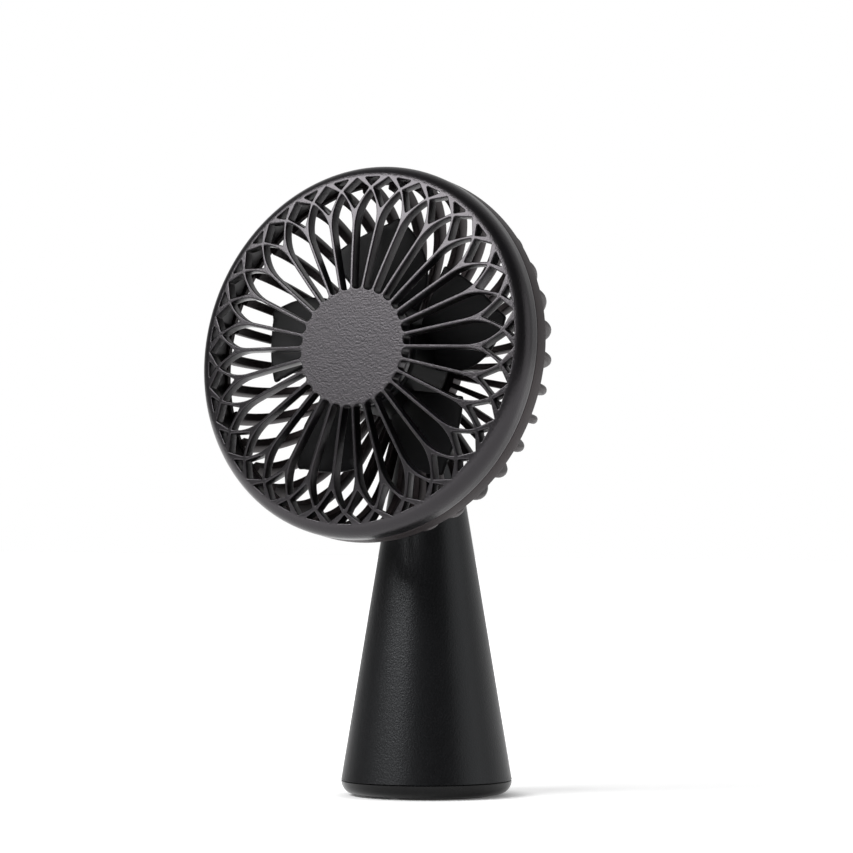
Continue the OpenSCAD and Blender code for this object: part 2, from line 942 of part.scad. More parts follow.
module battery_cell() {
    color([0.2, 0.35, 0.6]) {
        translate([0, 0, cell_z])
            cylinder(r = cell_r, h = cell_h);
        translate([0, 0, cell_top_z - bite])
            cylinder(r = nub_r, h = nub_h + bite);
    }
}

module battery_tabs() {
    color([0.8, 0.8, 0.78])
        for (z = [cell_z - tab_t, cell_top_z + nub_h])
            translate([-tab_w / 2, -tab_w / 2, z])
                cube([tab_w + tab_tail, tab_w, tab_t]);
}

module battery_leads() {
    color([0.75, 0.1, 0.1]) {
        wire(battery_lead_path, [0, 1, 0]);
        wire(return_lead_path, [0, 1, 0]);
    }
}

module main_board() {
    color(board_green)
        difference() {
            translate([0, 0, board_z])
                cylinder(r = board_r, h = board_top_z - board_z);
            ring_of(base_angles, boss_ring)
                translate([0, 0, board_z - eps])
                    cylinder(r = cone_boss_r + cone_boss_clear, h = board_top_z - board_z + 2 * eps);
            ring_of(base_angles, pillar_ring)
                translate([0, 0, board_z - eps])
                    cylinder(r = base_screw_r + screw_clear, h = board_top_z - board_z + 2 * eps);
        }
}

// Chips and coil on the main board: angle, ring radius, length, width and height of each
CHIPS = [[205, 14.6, 4, 4, 0.9], [325, 14.6, 5, 5, 2.2], [180, 15.4, 3, 3, 0.9],
    [228, 15, 2, 1.2, 0.8], [243, 15, 2, 1.2, 0.8], [346, 15.4, 3, 1.6, 0.8], [60, 15, 2, 1.2, 0.8]];

module board_chips() {
    color([0.12, 0.12, 0.13])
        for (chip = CHIPS)
            rotate(chip[0])
                translate([chip[1] - chip[2] / 2, -chip[3] / 2, board_top_z])
                    cube([chip[2], chip[3], chip[4]]);
}

// Base --------------------------------------------------------------------------------------

module ballast_plate() {
    color([0.5, 0.5, 0.52])
        difference() {
            translate([0, 0, cap_floor_z])
                cylinder(r = ballast_r, h = ballast_top_z - cap_floor_z);
            ring_of(base_angles, pillar_ring)
                translate([0, 0, cap_floor_z - eps])
                    cylinder(r = pillar_r + pillar_clear, h = ballast_top_z - cap_floor_z + 2 * eps);
        }
}

module base_cap() {
    cap_r = cone_r(seam_z);
    color(gloss_black)
        difference() {
            union() {
                rotate_extrude()
                    polygon(concat(
                        [[0, cap_z]],
                        arc([cap_r - cap_bend_r, cap_z + cap_bend_r], cap_bend_r, -90,
                            asin((seam_z - seam_gap - cap_z - cap_bend_r) / cap_bend_r), 8),
                        [[spigot_r, seam_z - seam_gap],
                         [spigot_r, spigot_z],
                         [spigot_r - spigot_wall, spigot_z],
                         [spigot_r - spigot_wall, cap_floor_z],
                         [0, cap_floor_z]]));
                ring_of(base_angles, pillar_ring)
                    translate([0, 0, cap_floor_z - bite])
                        cylinder(r = pillar_r, h = board_z - cap_floor_z + bite);
            }
            // Recess for the foot pad
            translate([0, 0, cap_z - eps])
                cylinder(r = pad_r + pad_clear, h = pad_t - cap_z + eps);
            ring_of(base_angles, pillar_ring)
                translate([0, 0, frame_screw_z])
                    cylinder(r = base_screw_r, h = board_z);
            ring_of(base_angles, boss_ring) {
                // The spigot leaves room for the cone's bosses
                translate([0, 0, cap_floor_z])
                    cylinder(r = cone_boss_r + cone_boss_clear, h = spigot_z);
                translate([0, 0, -eps])
                    cylinder(r = base_screw_r + screw_clear, h = spigot_z);
                translate([0, 0, -eps])
                    cylinder(r = motor_screw_head + screw_clear, h = eps + pad_t + base_screw_recess);
            }
        }
}

module base_screws() {
    color(steel)
        upright_screw(boss_ring, pad_t + base_screw_recess, base_screw_z, false);
}

module foot_pad() {
    color([0.06, 0.06, 0.06])
        difference() {
            cylinder(r = pad_r, h = pad_t);
            translate([0, 0, -eps])
                difference() {
                    cylinder(r = pad_r - pad_groove_edge, h = eps + pad_groove);
                    translate([0, 0, -eps])
                        cylinder(r = pad_r - pad_groove_edge - pad_groove_w, h = 3 * eps);
                }
            ring_of(base_angles, boss_ring)
                translate([0, 0, -eps])
                    cylinder(r = motor_screw_head + screw_clear, h = 2 * pad_t);
        }
}

front_cover();
rear_housing();
impeller();
rotor_cup();
magnet_ring();
motor_shaft();
shaft_clip();
front_bearing();
rear_bearing();
bearing_tube();
stator_core();
stator_coils();
motor_board();
motor_base();
motor_screws();
neck_screws();
motor_leads();
cone_shell();
power_button();
switch_plunger();
tact_switch();
button_board();
button_leads();
led_lens();
inner_frame();
frame_screws();
battery_cell();
battery_tabs();
battery_leads();
main_board();
board_chips();
usb_socket();
usb_tongue();
ballast_plate();
base_cap();
base_screws();
foot_pad();
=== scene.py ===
import json
import math

import bmesh
import bpy
from mathutils import Matrix, Vector
from mathutils.geometry import delaunay_2d_cdt


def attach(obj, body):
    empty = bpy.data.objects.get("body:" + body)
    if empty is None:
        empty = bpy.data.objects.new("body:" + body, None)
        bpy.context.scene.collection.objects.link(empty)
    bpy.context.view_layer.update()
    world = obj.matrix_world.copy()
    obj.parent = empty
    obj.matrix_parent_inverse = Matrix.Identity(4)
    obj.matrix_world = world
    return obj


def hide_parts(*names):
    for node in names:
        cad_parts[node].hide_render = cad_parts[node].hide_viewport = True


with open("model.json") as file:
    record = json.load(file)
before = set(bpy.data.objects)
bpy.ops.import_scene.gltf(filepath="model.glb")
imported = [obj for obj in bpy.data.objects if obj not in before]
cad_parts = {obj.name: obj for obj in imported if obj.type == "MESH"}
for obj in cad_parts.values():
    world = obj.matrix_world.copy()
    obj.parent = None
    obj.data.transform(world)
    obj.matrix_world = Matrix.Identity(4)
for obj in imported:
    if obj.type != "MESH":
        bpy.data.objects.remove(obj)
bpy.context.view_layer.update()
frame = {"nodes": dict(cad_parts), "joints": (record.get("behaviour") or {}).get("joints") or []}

# Lengths in this script are millimetres in a piece's own frame; MM turns them into metres.
MM = 0.001

# ---------------------------------------------------------------- the head's own frame

ROTOR = next(j for j in frame["joints"] if j["name"] == "rotor_spin")
# The rotor joint's point lies this far behind the plane of the front rim
JOINT_DEPTH = 15.0


def head_matrix():
    """Local +Z points out of the front of the head, +Y up in its plane; 0 is the rim's plane."""
    forward = Vector(ROTOR["axis"]).normalized()
    right = Vector((1, 0, 0))
    up = forward.cross(right)
    origin = Vector(ROTOR["pos_m"]) + forward * JOINT_DEPTH * MM
    turn = Matrix((right, up, forward)).transposed().to_4x4()
    return Matrix.Translation(origin) @ turn @ Matrix.Scale(MM, 4)


HEAD = head_matrix()
STAND = Matrix.Scale(MM, 4)


def back_matrix(z):
    """Local +Z points straight out of the cone's back at height z, and +Y runs down its skin."""
    slope = math.atan(CONE_TAPER)
    turn = Matrix.Rotation(slope - math.pi / 2, 4, "X")
    return STAND @ Matrix.Translation((0, cone_r(z), z)) @ turn

# ---------------------------------------------------------------- dimensions

# Front cover
HEAD_R = 52.98
DOME_R = 283.0
DOME_RISE = 4.34
DOME_CENTRE = DOME_RISE - DOME_R
BAR_DEPTH = 3.4
RIM_ROUND = 4.4
RIM_ROUND_R = HEAD_R - RIM_ROUND
RIM_ROUND_Z = DOME_CENTRE + math.sqrt((DOME_R - RIM_ROUND) ** 2 - RIM_ROUND_R ** 2)
DOME_EDGE_R = RIM_ROUND_R * DOME_R / (DOME_R - RIM_ROUND)
PARTING = 6.9
SPOKES = 30
HALF_PITCH = math.pi / SPOKES
SPOKE_W = 1.0
HUB_DISC_R = 16.54
FORK_R = 35.0
PETAL_R = 45.45
PETAL_END_ROUND = 0.95
DIAMOND_R = (40.3, 46.2, 49.3)
DIAMOND_SIDE_A = 0.412 * 2 * HALF_PITCH
TRIANGLE_R = (46.9, 49.3)
TRIANGLE_A = 0.23 * 2 * HALF_PITCH
CORNER_ROUND = 0.24
TRIANGLE_ROUND = 0.15
TOP_ROUND = 0.36
UNDER_ROUND = 0.2
CAP_IN_R = 13.0
CAP_OUT_R = 50.4
UNDER_OUT_R = 49.6
LIP_IN = 2.08
LIP_T = 0.9
LIP_DEPTH = 2.6
PARTING_ROUND = 0.18
SKIRT_T = 1.4
SKIRT_BACK = -2
CAP_IN_STEPS = 2
CAP_OUT_STEPS = 4
# Longest step along a straight edge of the grille
EDGE_STEP = 1.4
RIM_STEPS = 240
HUB_STEPS = 120

# Rear housing
BAND_GAP = 0.12
BAND_END = 12.0
BAND_ROUND = 0.45
BAND_IN_R = 49.6
HEAD_DEPTH = 32.8
BEND_R = 22.0
BEND_C = (30.5, BEND_R - HEAD_DEPTH)
FIN_DEPTH = 4.5
FINS = 36
FIN_ROOT_W = 1.4
FIN_W = 2.5
REAR_DISC_R = 15.5
REAR_DISC_FRONT = 29.8
REAR_HOLE_R = 2.2
FIN_BEND_STEPS = 20

# Impeller: a blade's angles run from its tip, and its rear edge is the deepest
BLADES = 5
BLADE_START = math.radians(16)
BLADE_R = 40.4
BLADE_HEEL_R = 32.6
REAR_EDGE_POWER = 2.0
OUTER_EDGE_POWER = 0.7
BLADE_ROOT_R = 15.3
BLADE_ROOT_A = 16
BLADE_SPAN = 34
BLADE_SWEEP = 27
BLADE_FRONT = 8.0
BLADE_BACK = 18.0
BLADE_T = 1.3
BLADE_EDGE = 0.7
HUB_R = 16.0
HUB_FRONT = 4.0
HUB_BACK = 23.0
CUP_R = 14.6

# Stand
CONE_FOOT_R = 25.2
CONE_TAPER = 0.166
SEAM_Z = 4.4
SEAM_GAP = 0.15
CAP_Z = 0.4
CAP_BEND_R = 4.0
CONE_WALL = 1.825
NECK_R = 8.0
NECK_DEPTH = 38.55
NECK_Z = 120.74
THROAT_Z = 115.6
THROAT_STEPS = 14
PAD_R = 18.6
SCREW_RING = 19.3
SCREW_ANGLES = (30, 150, 270)
SCREW_POCKET_R = 2.0
SCREW_POCKET_Z = 1.8

# Button and charging port, in the back of the cone
BUTTON_Z = 82.0
BUTTON_R = 4.0
BUTTON_PROUD = 0.35
BUTTON_CLEAR = 0.12
BUTTON_FLANGE_R = 4.8
BUTTON_FLANGE_IN = 3.3
BUTTON_BACK = 4.2
LED_UP = 8.2
LED_R = 1.1
PORT_Z = 12.2
PORT_W = 9.4
PORT_H = 3.7
SLOT_STEPS = 8


def cone_r(z):
    return CONE_FOOT_R - CONE_TAPER * z


# ---------------------------------------------------------------- mesh tools


class Shape:
    """Vertices and faces of one piece, in its own frame."""

    def __init__(self):
        self.verts = []
        self.faces = []

    def loop(self, points):
        """Adds points and returns their numbers."""
        start = len(self.verts)
        self.verts.extend(Vector(p) for p in points)
        return list(range(start, len(self.verts)))

    def join(self, first, second):
        """Quads between two loops of the same length."""
        count = len(first)
        for i in range(count):
            k = (i + 1) % count
            self.faces.append((first[i], first[k], second[k], second[i]))

    def fan(self, loop, tip):
        """Triangles from a loop to one point."""
        apex = self.loop([tip])[0]
        for i, v in enumerate(loop):
            self.faces.append((v, loop[(i + 1) % len(loop)], apex))

    def lid(self, loop):
        self.faces.append(tuple(loop))

    def sweep(self, loops, ends=True):
        """Skin over a row of loops, with a lid on each end."""
        rows = [self.loop(points) for points in loops]
        for first, second in zip(rows, rows[1:]):
            self.join(first, second)
        if ends:
            self.lid(rows[0])
            self.lid(rows[-1])

    def lathe(self, profile, steps, ring=False):
        """Turns (radius, height) points round Z. A ring's profile closes on itself; a point at
        radius 0 closes an end."""
        rows = []
        for r, z in profile:
            if r > 0:
                ring_points = [(r * math.cos(a), r * math.sin(a), z) for a in turns(steps)]
                rows.append(self.loop(ring_points))
            else:
                rows.append(z)
        pairs = list(zip(rows, rows[1:]))
        if ring:
            pairs.append((rows[-1], rows[0]))
        for first, second in pairs:
            if isinstance(first, list) and isinstance(second, list):
                self.join(first, second)
            elif isinstance(first, list):
                self.fan(first, (0, 0, second))
            elif isinstance(second, list):
                self.fan(second, (0, 0, first))


def turns(steps):
    return [2 * math.pi * i / steps for i in range(steps)]


def polar(r, a):
    return Vector((r * math.cos(a), r * math.sin(a)))


def arc(centre, r, start, end, steps):
    """Points on an arc, with both ends; the angles are in degrees."""
    a = math.radians(start)
    b = math.radians(end)
    return [Vector(centre) + polar(r, a + (b - a) * i / steps) for i in range(steps + 1)]


def along(first, last, step):
    """Points between two ends, both left out, about a step apart."""
    first, last = Vector(first), Vector(last)
    count = max(1, round((last - first).length / step))
    return [first.lerp(last, i / count) for i in range(1, count)]


def rounded(points, radii, steps=4):
    """A closed outline with its corners turned into arcs."""
    result = []
    for i, p in enumerate(points):
        if not radii[i]:
            result.append(Vector(p))
            continue
        p = Vector(p)
        u = (Vector(points[i - 1]) - p).normalized()
        v = (Vector(points[(i + 1) % len(points)]) - p).normalized()
        half = u.angle(v) / 2
        centre = p + (u + v).normalized() * radii[i] / math.sin(half)
        start = p + u * radii[i] / math.tan(half) - centre
        end = p + v * radii[i] / math.tan(half) - centre
        a = math.atan2(start.y, start.x)
        sweep = math.remainder(math.atan2(end.y, end.x) - a, 2 * math.pi)
        result += [centre + polar(radii[i], a + sweep * k / steps) for k in range(steps + 1)]
    return result


def grown(points, distance):
    """A closed convex outline moved outwards by a distance."""
    count = len(points)
    area = sum(points[i - 1].x * points[i].y - points[i].x * points[i - 1].y for i in range(count))
    side = 1 if area > 0 else -1
    result = []
    for i, p in enumerate(points):
        before = (p - points[i - 1]).normalized()
        after = (points[(i + 1) % count] - p).normalized()
        n1 = Vector((before.y, -before.x)) * side
        n2 = Vector((after.y, -after.x)) * side
        result.append(p + (n1 + n2) * distance / (1 + n1.dot(n2)))
    return result


def turned(points, a):
    c, s = math.cos(a), math.sin(a)
    return [Vector((p.x * c - p.y * s, p.x * s + p.y * c)) for p in points]


def make_piece(name, shape, place, material, body, nodes, sharp=40, normal_at=None):
    """Turns a Shape into an object that rides on a body and stands for CAD nodes. normal_at gives
    the true normal at a point of the piece's own frame, or nothing where the mesh's own will do."""
    mesh = bpy.data.meshes.new(name)
    mesh.from_pydata([place @ v for v in shape.verts], [], shape.faces)
    bm = bmesh.new()
    bm.from_mesh(mesh)
    bmesh.ops.remove_doubles(bm, verts=bm.verts, dist=0.002 * MM)
    bmesh.ops.dissolve_degenerate(bm, edges=bm.edges, dist=0.002 * MM)
    bmesh.ops.recalc_face_normals(bm, faces=bm.faces)
    bm.to_mesh(mesh)
    bm.free()
    mesh.shade_smooth()
    mesh.set_sharp_from_angle(angle=math.radians(sharp))
    if normal_at:
        back = place.inverted()
        turn = place.to_3x3().normalized()
        normals = [turn @ normal_at(back @ v.co) for v in mesh.vertices]
        mesh.normals_split_custom_set_from_vertices(normals)
    piece = bpy.data.objects.new(name, mesh)
    bpy.context.scene.collection.objects.link(piece)
    mesh.materials.append(material)
    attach(piece, body)
    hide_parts(*nodes)
    return piece


# ---------------------------------------------------------------- materials


class Nodes:
    """Short ways to build a material's node tree."""

    def __init__(self, name):
        self.material = bpy.data.materials.new(name)
        self.material.use_nodes = True
        self.tree = self.material.node_tree
        self.shader = self.tree.nodes["Principled BSDF"]
        self.place = self.add("ShaderNodeTexCoord").outputs["Object"]

    def add(self, kind, **values):
        node = self.tree.nodes.new(kind)
        for key, value in values.items():
            setattr(node, key, value)
        return node

    def link(self, source, target):
        self.tree.links.new(source, target)

    def noise(self, scale, detail=3.0, rough=0.5, stretch=None):
        node = self.add("ShaderNodeTexNoise")
        node.inputs["Scale"].default_value = scale
        node.inputs["Detail"].default_value = detail
        node.inputs["Roughness"].default_value = rough
        if stretch:
            mapping = self.add("ShaderNodeMapping")
            mapping.inputs["Scale"].default_value = stretch
            self.link(self.place, mapping.inputs["Vector"])
            self.link(mapping.outputs["Vector"], node.inputs["Vector"])
        else:
            self.link(self.place, node.inputs["Vector"])
        return node.outputs["Fac"]

    def scaled(self, value, low, high):
        node = self.add("ShaderNodeMapRange")
        node.inputs["To Min"].default_value = low
        node.inputs["To Max"].default_value = high
        self.link(value, node.inputs["Value"])
        return node.outputs["Result"]

    def eased(self, value, span, low, high):
        """Goes smoothly from low to high while the value crosses the span."""
        node = self.add("ShaderNodeMapRange", interpolation_type="SMOOTHSTEP")
        node.inputs["From Min"].default_value, node.inputs["From Max"].default_value = span
        node.inputs["To Min"].default_value = low
        node.inputs["To Max"].default_value = high
        self.link(value, node.inputs["Value"])
        return node.outputs["Result"]

    def ramp(self, value, stops):
        node = self.add("ShaderNodeValToRGB")
        elements = node.color_ramp.elements
        while len(elements) < len(stops):
            elements.new(0.5)
        for element, (at, colour) in zip(elements, stops):
            element.position = at
            element.color = (*colour, 1)
        self.link(value, node.inputs["Fac"])
        return node.outputs["Color"]

    def bump(self, height, strength, distance):
        node = self.add("ShaderNodeBump")
        node.inputs["Strength"].default_value = strength
        node.inputs["Distance"].default_value = distance
        self.link(height, node.inputs["Height"])
        return node.outputs["Normal"]


# How far a moulded piece's roughness strays from its own
GLOSS_VARIES = 0.015


def moulded(name, dark, light, rough, grain=2600, grain_depth=0.00002, mottle=90, specular=0.5,
            tint=(1, 1, 1)):
    """Moulded plastic: a fine even grain, and a slow change of tone and gloss."""
    m = Nodes(name)
    slow = m.noise(mottle, 4.0, 0.6)
    m.link(m.ramp(slow, [(0.3, dark), (0.7, light)]), m.shader.inputs["Base Color"])
    fine = m.noise(grain, 2.0, 0.55)
    gloss = m.scaled(m.noise(mottle * 2.3, 5.0, 0.7), rough - GLOSS_VARIES, rough + GLOSS_VARIES)
    m.link(gloss, m.shader.inputs["Roughness"])
    m.link(m.bump(fine, 0.5, grain_depth), m.shader.inputs["Normal"])
    m.shader.inputs["Specular IOR Level"].default_value = specular
    m.shader.inputs["Specular Tint"].default_value = (*tint, 1)
    return m.material


def metal(name, dark, light, rough, stretch=(1, 1, 1), scale=900):
    m = Nodes(name)
    streak = m.noise(scale, 4.0, 0.6, stretch)
    m.link(m.ramp(streak, [(0.35, dark), (0.65, light)]), m.shader.inputs["Base Color"])
    m.link(m.scaled(streak, rough - 0.08, rough + 0.1), m.shader.inputs["Roughness"])
    m.link(m.bump(streak, 0.3, 0.00001), m.shader.inputs["Normal"])
    m.shader.inputs["Metallic"].default_value = 1.0
    return m.material


COVER = moulded("cover_satin", (0.004, 0.0037, 0.0042), (0.0055, 0.0051, 0.006), 0.28, grain=1800,
                grain_depth=0.00012, tint=(1, 0.94, 1))
HOUSING = moulded("housing_matt", (0.012, 0.0095, 0.0095), (0.016, 0.0125, 0.0125), 0.5, grain=2000,
                  grain_depth=0.00008, specular=0.4, tint=(1, 0.86, 0.9))
BLADE = moulded("blade_smooth", (0.0025, 0.0025, 0.003), (0.0035, 0.0035, 0.004), 0.45,
                grain_depth=0.000008, specular=0.12)
CONE = moulded("cone_satin", (0.003, 0.003, 0.0035), (0.0045, 0.0045, 0.0052), 0.34, grain=1900,
               grain_depth=0.00012, specular=0.32, tint=(0.94, 0.97, 1))
GLOSS = moulded("gloss_black", (0.004, 0.004, 0.0045), (0.006, 0.006, 0.0065), 0.22,
                grain_depth=0.000006, specular=0.2)
INNER = moulded("inner_plastic", (0.1, 0.1, 0.1), (0.15, 0.15, 0.15), 0.5)
RUBBER = moulded("pad_rubber", (0.02, 0.02, 0.02), (0.032, 0.031, 0.03), 0.75, grain=1800)
CHIP = moulded("chip_black", (0.02, 0.02, 0.02), (0.04, 0.04, 0.04), 0.45)
BOARD = moulded("board_green", (0.008, 0.09, 0.04), (0.012, 0.13, 0.06), 0.3, mottle=500)
WRAP = moulded("cell_wrap", (0.02, 0.08, 0.26), (0.03, 0.11, 0.33), 0.25, mottle=200)
LEAD_RED = moulded("lead_red", (0.4, 0.02, 0.015), (0.5, 0.03, 0.02), 0.45)
LEAD_WHITE = moulded("lead_white", (0.62, 0.62, 0.6), (0.72, 0.72, 0.7), 0.45)
LENS = moulded("lens_clear", (0.75, 0.77, 0.74), (0.82, 0.84, 0.8), 0.2, grain_depth=0.000004)
STEEL = metal("steel_plated", (0.5, 0.51, 0.53), (0.66, 0.67, 0.69), 0.3)
MAGNET = metal("magnet_dull", (0.1, 0.1, 0.105), (0.16, 0.16, 0.165), 0.5)
BRASS = metal("brass_turned", (0.6, 0.42, 0.16), (0.75, 0.56, 0.25), 0.28)
LAMINATION = metal("lamination_steel", (0.22, 0.22, 0.23), (0.34, 0.34, 0.35), 0.42,
                   (1, 30, 1), 500)
COPPER = metal("copper_winding", (0.5, 0.18, 0.06), (0.75, 0.34, 0.14), 0.3, (1, 20, 1), 400)
NICKEL = metal("nickel_strip", (0.6, 0.58, 0.53), (0.76, 0.74, 0.68), 0.25)

CAD_MATERIALS = {
    "front_cover": COVER, "rear_housing": HOUSING, "impeller": BLADE, "rotor_cup": STEEL,
    "magnet_ring": MAGNET, "motor_shaft": STEEL, "shaft_clip": STEEL, "front_bearing": STEEL,
    "rear_bearing": STEEL, "bearing_tube": BRASS, "stator_core": LAMINATION, "stator_coils": COPPER,
    "motor_board": BOARD, "motor_base": INNER, "motor_screws": STEEL, "neck_screws": STEEL,
    "motor_leads": LEAD_RED, "cone_shell": CONE, "power_button": GLOSS, "switch_plunger": INNER,
    "tact_switch": INNER, "button_board": BOARD, "button_leads": LEAD_WHITE, "led_lens": LENS,
    "inner_frame": INNER, "frame_screws": STEEL, "battery_cell": WRAP, "battery_tabs": NICKEL,
    "battery_leads": LEAD_RED, "main_board": BOARD, "board_chips": CHIP, "usb_socket": STEEL,
    "usb_tongue": INNER, "ballast_plate": LAMINATION, "base_cap": GLOSS, "base_screws": STEEL,
    "foot_pad": RUBBER,
}


def dress_cad_nodes():
    for name, node in frame["nodes"].items():
        node.data.materials.clear()
        node.data.materials.append(CAD_MATERIALS[name])


# ---------------------------------------------------------------- front cover


def top_z(r):
    """Height of the front face: the dome, and then the rounded shoulder."""
    if r < DOME_EDGE_R:
        return DOME_CENTRE + math.sqrt(DOME_R ** 2 - r ** 2)
    return RIM_ROUND_Z + math.sqrt(max(0.0, RIM_ROUND ** 2 - (r - RIM_ROUND_R) ** 2))


def under_z(r):
    return DOME_CENTRE + math.sqrt((DOME_R - BAR_DEPTH) ** 2 - r ** 2)


def petal_outline():
    """Petal opening, with its axis along +X."""
    side = polar(1, HALF_PITCH)
    inwards = Vector((side.y, -side.x))

    def edge(u):
        return side * u + inwards * SPOKE_W / 2

    fork = edge(FORK_R)
    chord = Vector((PETAL_R, 0)) - fork
    bend = chord.dot(chord) / (2 * inwards.dot(chord))
    centre = fork + inwards * bend
    start = math.degrees(math.atan2(fork.y - centre.y, fork.x - centre.x))
    end = math.degrees(math.atan2(-centre.y, PETAL_R - centre.x))
    inner = edge(HUB_DISC_R + PETAL_END_ROUND)
    inner_c = inner + inwards * PETAL_END_ROUND
    half = [Vector((inner_c.x - PETAL_END_ROUND, 0))]
    half += arc(inner_c, PETAL_END_ROUND, 180, 90 + math.degrees(HALF_PITCH), 6)
    half += along(inner, fork, EDGE_STEP)
    half += arc(centre, bend, start, end, 10)
    mirror = [Vector((p.x, -p.y)) for p in reversed(half[1:-1])]
    outline = half + mirror
    radii = [0] * len(outline)
    radii[len(half) - 1] = CORNER_ROUND
    return rounded(outline, radii)


def diamond_outline():
    """Diamond opening on a spoke's line, with its axis along +X."""
    side = polar(DIAMOND_R[1], DIAMOND_SIDE_A)
    corners = [Vector((DIAMOND_R[0], 0)), Vector((side.x, -side.y)),
               Vector((DIAMOND_R[2], 0)), side]
    return rounded(corners, [CORNER_ROUND] * 4)


def triangle_outline():
    base = polar(TRIANGLE_R[1], TRIANGLE_A)
    corners = [Vector((TRIANGLE_R[0], 0)), Vector((base.x, -base.y)), Vector((base.x, 0)), base]
    return rounded(corners, [TRIANGLE_ROUND, TRIANGLE_ROUND, 0, TRIANGLE_ROUND])


def half_loop(points):
    """Points of a symmetric outline with y >= 0, in order, both axis points included."""
    centre = sum((p.x for p in points)) / len(points)
    kept = [Vector((p.x, max(0.0, p.y))) for p in points if p.y > -1e-6]
    return sorted(kept, key=lambda p: -math.atan2(p.y, p.x - centre))


def cap_half_sector(grow, out_r):
    """Outline of the solid part of the grille between a spoke's line and the next petal's line."""
    diamond = half_loop(grown(diamond_outline(), grow))
    petal = half_loop(grown(petal_outline(), grow))
    triangle = half_loop(grown(triangle_outline(), grow))
    petal = [Vector((p.x, -p.y)) for p in petal]
    triangle = [Vector((p.x, -p.y)) for p in triangle]
    petal = turned(petal, HALF_PITCH)
    triangle = turned(triangle, HALF_PITCH)
    start = polar(CAP_IN_R, 0)
    line = [start] + along(start, diamond[0], EDGE_STEP) + diamond
    line += [polar(out_r, HALF_PITCH * i / CAP_OUT_STEPS) for i in range(CAP_OUT_STEPS + 1)]
    line += list(reversed(triangle)) + list(reversed(petal))
    line += [polar(CAP_IN_R, HALF_PITCH * i / CAP_IN_STEPS) for i in range(CAP_IN_STEPS, 0, -1)]
    return line


def add_cap(shape, outline, height):
    """Fills the half sector with triangles, and repeats it and its mirror image all round."""
    count = len(outline)
    verts, _, faces, *_ = delaunay_2d_cdt(outline, [], [list(range(count))], 1, 1e-6)
    for i in range(SPOKES):
        for mirror in (1, -1):
            flat = turned([Vector((p.x, p.y * mirror)) for p in verts], 2 * HALF_PITCH * i)
            rows = shape.loop([(p.x, p.y, height(p.length)) for p in flat])
            shape.faces.extend(tuple(rows[k] for k in face) for face in faces)


def add_window(shape, outline, a):
    """The walls of one opening, with a rounded edge in front and behind."""
    rings = []
    for k in range(6):
        t = math.radians(90 * (1 - k / 5))
        ring = grown(outline, TOP_ROUND * (1 - math.cos(t)))
        drop = TOP_ROUND * (1 - math.sin(t))
        rings.append([(p.x, p.y, top_z(p.length) - drop) for p in turned(ring, a)])
    for k in range(4):
        t = math.radians(90 * k / 3)
        ring = grown(outline, UNDER_ROUND * (1 - math.cos(t)))
        lift = UNDER_ROUND * (1 - math.sin(t))
        rings.append([(p.x, p.y, under_z(p.length) + lift) for p in turned(ring, a)])
    shape.sweep(rings, ends=False)


def grille_normal(p):
    """The true normal on the front faces, so that the openings don't dent their shine: that of a
    flat disc on the hub, and the dome's own outside it."""
    r = math.hypot(p.x, p.y)
    if r > DOME_EDGE_R or abs(p.z - top_z(r)) > 0.01:
        return Vector((0, 0, 0))
    if r < HUB_DISC_R + 0.4:
        return Vector((0, 0, 1))
    return (p - Vector((0, 0, DOME_CENTRE))).normalized()


def front_grille():
    shape = Shape()
    add_cap(shape, cap_half_sector(TOP_ROUND, CAP_OUT_R), top_z)
    add_cap(shape, cap_half_sector(UNDER_ROUND, UNDER_OUT_R), under_z)
    for i in range(SPOKES):
        spoke_a = 2 * HALF_PITCH * i
        add_window(shape, diamond_outline(), spoke_a)
        add_window(shape, petal_outline(), spoke_a + HALF_PITCH)
        add_window(shape, triangle_outline(), spoke_a + HALF_PITCH)
    rings = [CAP_IN_R * i / 6 for i in range(6, -1, -1)]
    shape.lathe([(r, top_z(r)) for r in rings], HUB_STEPS)
    shape.lathe([(r, under_z(r)) for r in rings], HUB_STEPS)
    # Shoulder, side wall, parting edge and the lip inside the band
    start = math.degrees(math.acos((CAP_OUT_R - RIM_ROUND_R) / RIM_ROUND))
    lip_r = HEAD_R - LIP_IN
    profile = [tuple(p) for p in arc((RIM_ROUND_R, RIM_ROUND_Z), RIM_ROUND, start, 0, 12)]
    profile += [(HEAD_R, -PARTING + 0.9)]
    profile += [tuple(p) for p in arc((HEAD_R - PARTING_ROUND, -PARTING + PARTING_ROUND),
                                         PARTING_ROUND, 0, -90, 3)]
    lip_end = -PARTING - LIP_DEPTH
    lip_in_r = lip_r - LIP_T
    profile += [(lip_r, -PARTING), (lip_r, -PARTING - 2.5), (lip_r - 0.1, lip_end)]
    profile += [(lip_in_r, lip_end), (lip_in_r, under_z(lip_in_r))]
    profile += [(UNDER_OUT_R, under_z(UNDER_OUT_R))]
    shape.lathe(profile, RIM_STEPS)
    # Skirt behind the hub disc
    skirt_r = HUB_DISC_R - 0.2
    skirt_in_r = skirt_r - SKIRT_T
    skirt_top = under_z(skirt_r) + 0.1
    skirt = [(skirt_r, skirt_top), (skirt_r, SKIRT_BACK)]
    skirt += [(skirt_in_r, SKIRT_BACK), (skirt_in_r, skirt_top)]
    shape.lathe(skirt, HUB_STEPS, ring=True)
    make_piece("front_grille", shape, HEAD, COVER, "fan", ["front_cover"],
               normal_at=grille_normal)


# ---------------------------------------------------------------- rear housing


